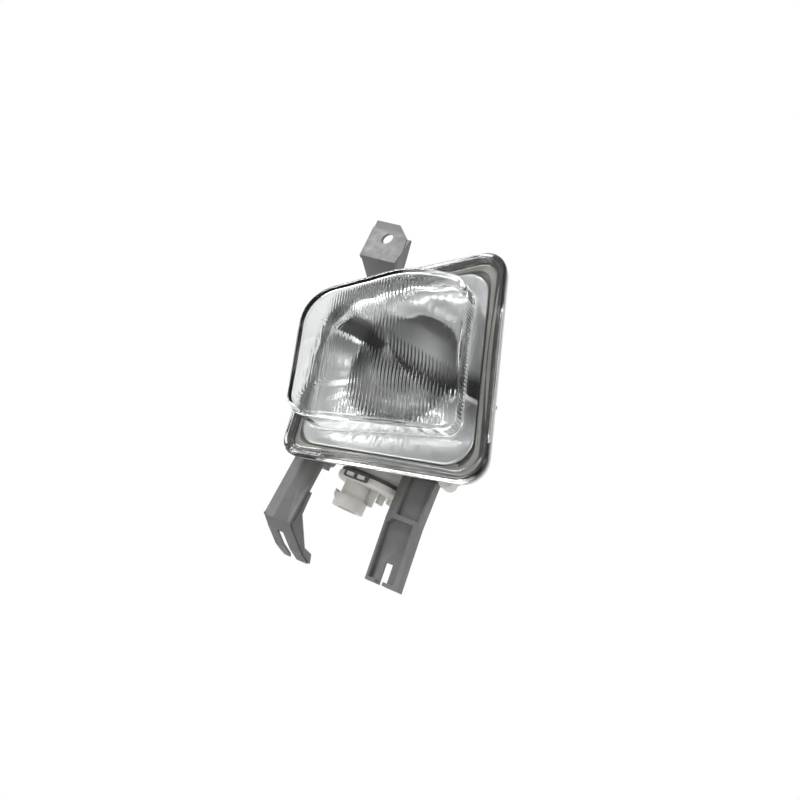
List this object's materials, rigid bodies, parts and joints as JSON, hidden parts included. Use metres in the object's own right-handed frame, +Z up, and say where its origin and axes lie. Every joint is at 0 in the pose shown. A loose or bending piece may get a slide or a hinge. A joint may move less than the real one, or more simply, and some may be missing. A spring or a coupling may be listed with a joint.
{
  "type": "fog light",
  "caption": "Front fog lamp with a skewed glass rim and a raised slanting window, a tilting lamp body in a bracket frame with an aim screw, and a bottom access cap with a plug socket.",
  "frame": {"origin": "centre of the upper lug's fixing hole, on the lug's front face", "axes": "+X to the right seen from in front, +Y to the back of the lamp, so the light leaves towards -Y, +Z up"},
  "size_m": [0.1591, 0.1161, 0.2385],
  "materials": {
    "lens_glass": "clear pressed glass with a faint green edge and moulded flutes",
    "seal_rubber": "matt black rubber",
    "ivory_plastic": "satin moulded plastic, ivory",
    "mirror_coat": "metal-coated plastic reflector",
    "bulb_glass": "clear bulb glass",
    "bulb_metal": "stamped metal base",
    "filament_wire": "dull drawn wire",
    "spring_steel": "bright spring wire",
    "dark_plastic": "dark grey plastic, dull",
    "terminal_metal": "tinned brass",
    "lead_sleeve": "dull flexible sleeve",
    "grey_plastic": "fine-grained moulded plastic, mid grey",
    "zinc_steel": "zinc-plated steel"
  },
  "bodies": {
    "bracket": {"carrier_frame": "grey_plastic", "upper_lug": "grey_plastic", "left_arm": "grey_plastic", "right_arm": "grey_plastic", "lug_screw": "zinc_steel", "left_arm_screw": "zinc_steel", "right_arm_screw": "zinc_steel", "pivot_bush_left": "dark_plastic", "pivot_bush_right": "dark_plastic"},
    "lamp": {"lamp_housing": "ivory_plastic", "lens": "lens_glass", "lens_seal": "seal_rubber", "reflector": "mirror_coat", "bulb_envelope": "bulb_glass", "bulb_base": "bulb_metal", "bulb_filament": "filament_wire", "pivot_pin_left": "zinc_steel", "pivot_pin_right": "zinc_steel", "adjuster_nut": "ivory_plastic", "breather_elbow": "seal_rubber"},
    "cap": {"access_cap": "ivory_plastic", "cap_seal": "seal_rubber", "cap_latch": "dark_plastic", "terminal_live": "terminal_metal", "terminal_earth": "terminal_metal", "lead_live": "lead_sleeve", "lead_earth": "lead_sleeve"},
    "clip": {"bulb_clip": "spring_steel"},
    "adjuster": {"adjuster_screw": "zinc_steel", "adjuster_retainer": "zinc_steel"}
  },
  "joints": [
    {"name": "aim_tilt", "type": "hinge", "parent": "bracket", "child": "lamp", "pos_m": [0.062, 0.01019, -0.0906], "axis": [1, 0, 0], "range_deg": [-3, 3]},
    {"name": "adjuster_spin", "type": "hinge", "parent": "bracket", "child": "adjuster", "pos_m": [0.106, 0.02419, -0.1331], "axis": [0, 1, 0], "range_deg": [-1005, 1005]},
    {"name": "cap_pull", "type": "slide", "parent": "lamp", "child": "cap", "axis": [0, 0, -1], "range_m": [0, 0.02]},
    {"name": "bulb_clip_swing", "type": "hinge", "parent": "lamp", "child": "clip", "pos_m": [0.0625, 0.02719, -0.13601], "axis": [1, 0, 0], "range_deg": [0, 25]}
  ],
  "couplings": [
    {"joint": "adjuster_spin", "follows": "aim_tilt", "ratio": -333.8}
  ]
}
